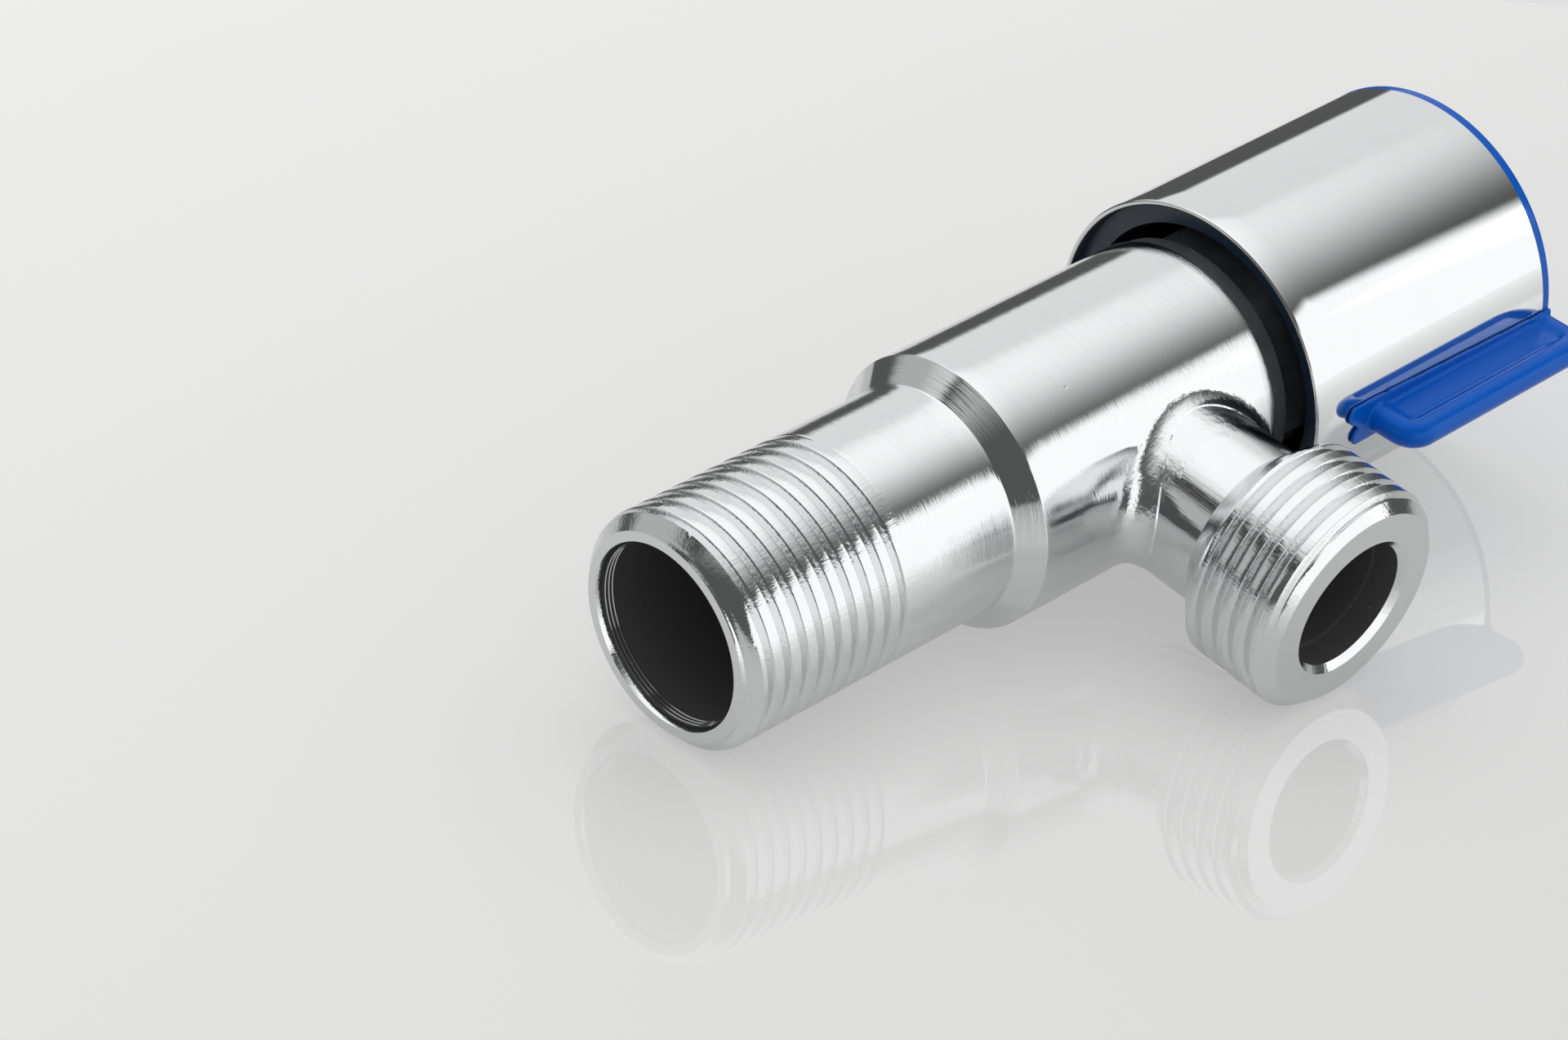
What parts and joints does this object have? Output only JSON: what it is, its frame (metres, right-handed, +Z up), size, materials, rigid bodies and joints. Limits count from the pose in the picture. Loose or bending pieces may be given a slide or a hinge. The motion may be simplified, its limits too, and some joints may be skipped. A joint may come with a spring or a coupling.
{
  "type": "angle valve",
  "caption": "Right-angle stop valve: threaded inlet and side outlet, turned barrel, and a chromed quarter-turn handle with a blue end cap and grip wing.",
  "frame": {"origin": "centre of the inlet end face, on the main axis", "axes": "+X along the main axis from the inlet to the handle, -Y along the outlet, +Z up"},
  "size_m": [0.0921, 0.046, 0.0306],
  "materials": {
    "body_chrome": "bright chrome plate on turned and cast brass",
    "sleeve_chrome": "mirror chrome plate",
    "brass": "turned brass",
    "disc_ceramic": "lapped alumina",
    "seal_rubber": "greased nitrile rubber",
    "slide_plastic": "unfilled acetal",
    "fastener_steel": "bright stainless steel",
    "core_plastic": "dark moulded plastic",
    "blue_plastic": "glossy moulded plastic"
  },
  "bodies": {
    "valve": {"valve_body": "body_chrome", "bonnet": "brass", "bonnet_o_ring": "seal_rubber", "disc_cage": "brass", "fixed_disc": "disc_ceramic", "seat_seal": "seal_rubber", "seat_ring": "slide_plastic"},
    "handle": {"spindle": "brass", "lower_spindle_o_ring": "seal_rubber", "upper_spindle_o_ring": "seal_rubber", "thrust_washer": "slide_plastic", "clip_washer": "fastener_steel", "retaining_clip": "fastener_steel", "moving_disc": "disc_ceramic", "handle_core": "core_plastic", "spline_bush": "brass", "chrome_sleeve": "sleeve_chrome", "handle_screw": "fastener_steel", "screw_washer": "fastener_steel", "handle_cap": "blue_plastic", "screw_cover": "blue_plastic"}
  },
  "joints": [
    {"name": "handle_turn", "type": "hinge", "parent": "valve", "child": "handle", "pos_m": [0.06, 0, 0], "axis": [-1, 0, 0], "range_deg": [0, 90]}
  ]
}
